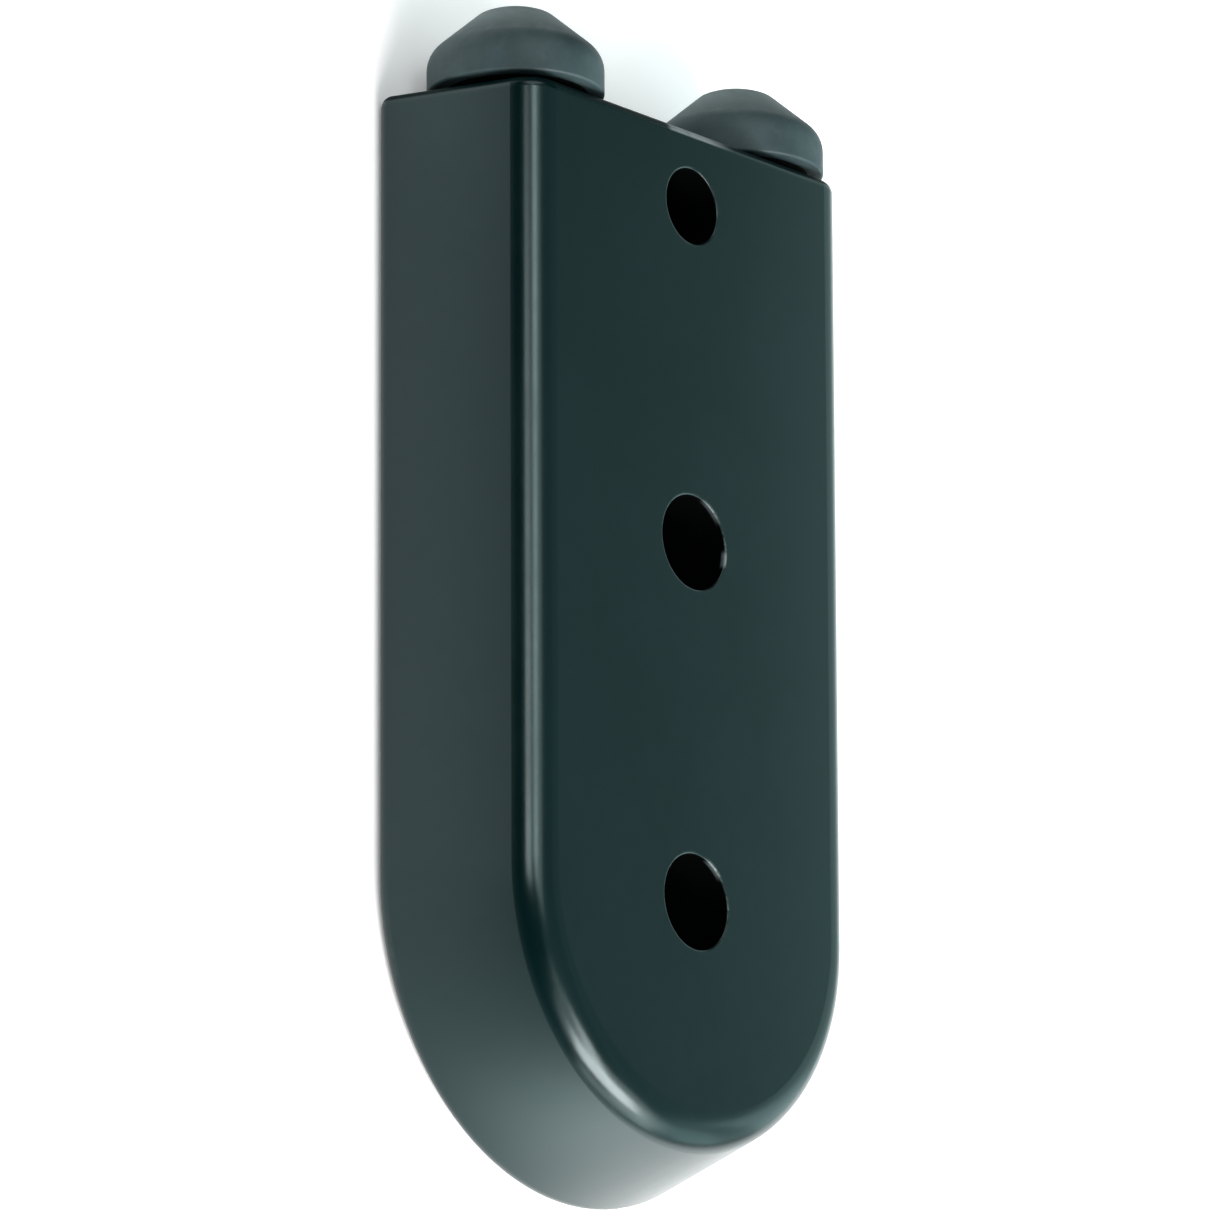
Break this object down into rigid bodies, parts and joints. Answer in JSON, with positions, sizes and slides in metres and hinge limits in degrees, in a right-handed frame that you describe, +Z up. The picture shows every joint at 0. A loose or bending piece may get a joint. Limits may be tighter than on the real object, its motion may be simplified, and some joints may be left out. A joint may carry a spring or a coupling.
{
  "type": "track end stop",
  "caption": "Low block with a round tail and sloping sides, bolted down to stop a sailing-boat track car on domed rubber bumpers at its flat end.",
  "frame": {"origin": "on the deck plane, under the middle of the whole part's box", "axes": "+X along the track towards the car, out of the flat end and its bumpers; +Y to the left when looking along +X; +Z up off the deck, out of the front face and along the bolt holes"},
  "size_m": [0.129, 0.0616, 0.0194],
  "materials": {
    "black_anodised_aluminium": "satin black anodised",
    "bumper_rubber": "matte moulded black rubber",
    "primed_steel_plate": "steel in black rubber-bonding primer",
    "black_acetal": "punched black acetal sheet",
    "stainless_steel": "plain stainless steel"
  },
  "bodies": {
    "root": {"end_stop_body": "black_anodised_aluminium", "bumper_rubber_left": "bumper_rubber", "bumper_rubber_right": "bumper_rubber", "bumper_plate_left": "primed_steel_plate", "bumper_plate_right": "primed_steel_plate", "bumper_stud_left": "stainless_steel", "bumper_stud_right": "stainless_steel", "bumper_washer_left": "black_acetal", "bumper_washer_right": "black_acetal"}
  },
  "joints": []
}
